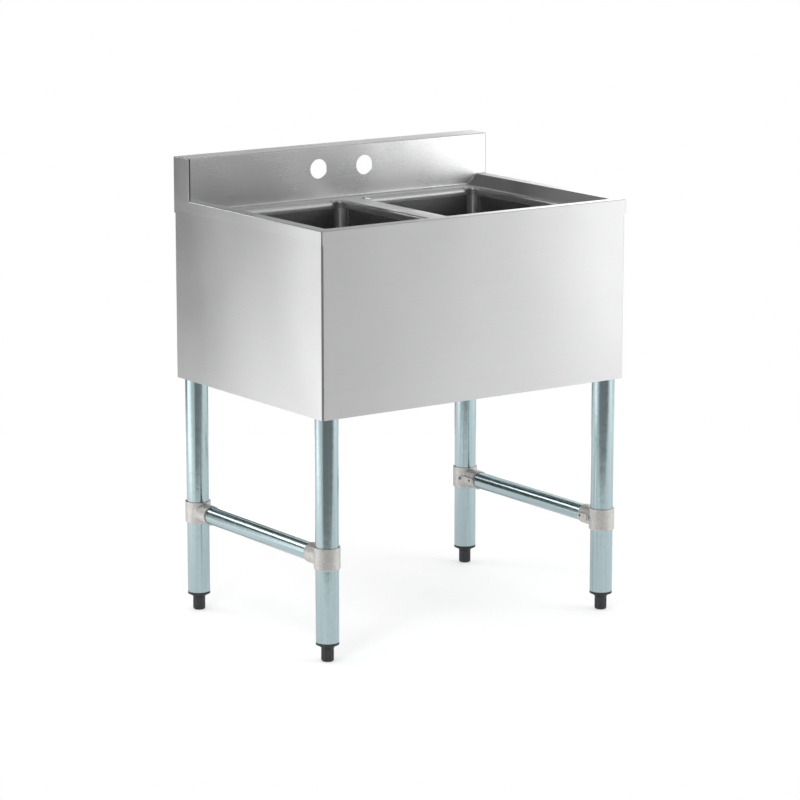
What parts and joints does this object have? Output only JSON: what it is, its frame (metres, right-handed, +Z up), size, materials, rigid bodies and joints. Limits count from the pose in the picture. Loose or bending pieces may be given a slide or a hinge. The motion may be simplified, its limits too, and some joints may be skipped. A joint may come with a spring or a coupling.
{
  "type": "two-bowl underbar sink",
  "caption": "Free-standing stainless underbar sink with deep bowls side by side, a raised splash with faucet holes, an apron, braced tube legs and levelling feet.",
  "frame": {"origin": "on the floor, below the middle of the whole object's box", "axes": "+Z up, -Y towards the user at the front, +Y towards the wall, +X to the user's right"},
  "size_m": [0.6604, 0.4762, 0.8382],
  "materials": {
    "stainless_sheet": "satin brushed stainless sheet",
    "bowl_steel": "satin drawn stainless",
    "galvanised_tube": "bright galvanised, bluish",
    "galvanised_sheet": "galvanised, dull",
    "cast_clamp": "as cast, fine grained",
    "foot_plastic": "moulded, matt",
    "screw_steel": "plain",
    "strainer_steel": "polished",
    "black_rubber": "smooth",
    "fibre_washer": "pressed fibre",
    "die_cast_nut": "die cast, dull"
  },
  "bodies": {
    "sink": {"backsplash": "stainless_sheet", "clamp_screws": "screw_steel", "front_apron": "stainless_sheet", "front_left_clamp": "cast_clamp", "front_left_foot_insert": "foot_plastic", "front_left_leg": "galvanised_tube", "front_left_leg_socket": "galvanised_sheet", "front_right_clamp": "cast_clamp", "front_right_foot_insert": "foot_plastic", "front_right_leg": "galvanised_tube", "front_right_leg_socket": "galvanised_sheet", "left_bowl": "bowl_steel", "left_brace": "galvanised_tube", "left_leg_rail": "galvanised_sheet", "left_side_panel": "stainless_sheet", "left_splash_end": "stainless_sheet", "left_strainer_body": "strainer_steel", "left_strainer_gasket": "black_rubber", "left_strainer_nut": "die_cast_nut", "left_strainer_washer": "fibre_washer", "leg_socket_screws": "screw_steel", "rear_left_clamp": "cast_clamp", "rear_left_foot_insert": "foot_plastic", "rear_left_leg": "galvanised_tube", "rear_left_leg_socket": "galvanised_sheet", "rear_right_clamp": "cast_clamp", "rear_right_foot_insert": "foot_plastic", "rear_right_leg": "galvanised_tube", "rear_right_leg_socket": "galvanised_sheet", "right_bowl": "bowl_steel", "right_brace": "galvanised_tube", "right_leg_rail": "galvanised_sheet", "right_side_panel": "stainless_sheet", "right_splash_end": "stainless_sheet", "right_strainer_body": "strainer_steel", "right_strainer_gasket": "black_rubber", "right_strainer_nut": "die_cast_nut", "right_strainer_washer": "fibre_washer", "sink_top": "stainless_sheet"},
    "front_left_foot": {"front_left_levelling_foot": "foot_plastic"},
    "front_right_foot": {"front_right_levelling_foot": "foot_plastic"},
    "rear_left_foot": {"rear_left_levelling_foot": "foot_plastic"},
    "rear_right_foot": {"rear_right_levelling_foot": "foot_plastic"},
    "left_basket": {"left_basket_cup": "strainer_steel", "left_basket_post": "strainer_steel", "left_basket_stopper": "black_rubber"},
    "right_basket": {"right_basket_cup": "strainer_steel", "right_basket_post": "strainer_steel", "right_basket_stopper": "black_rubber"}
  },
  "joints": [
    {"name": "front_left_foot_levelling", "type": "slide", "parent": "sink", "child": "front_left_foot", "axis": [0, 0, -1], "range_m": [0, 0.025]},
    {"name": "front_right_foot_levelling", "type": "slide", "parent": "sink", "child": "front_right_foot", "axis": [0, 0, -1], "range_m": [0, 0.025]},
    {"name": "rear_left_foot_levelling", "type": "slide", "parent": "sink", "child": "rear_left_foot", "axis": [0, 0, -1], "range_m": [0, 0.025]},
    {"name": "rear_right_foot_levelling", "type": "slide", "parent": "sink", "child": "rear_right_foot", "axis": [0, 0, -1], "range_m": [0, 0.025]},
    {"name": "left_basket_lift", "type": "slide", "parent": "sink", "child": "left_basket", "axis": [0, 0, 1], "range_m": [0, 0.4]},
    {"name": "right_basket_lift", "type": "slide", "parent": "sink", "child": "right_basket", "axis": [0, 0, 1], "range_m": [0, 0.4]}
  ]
}
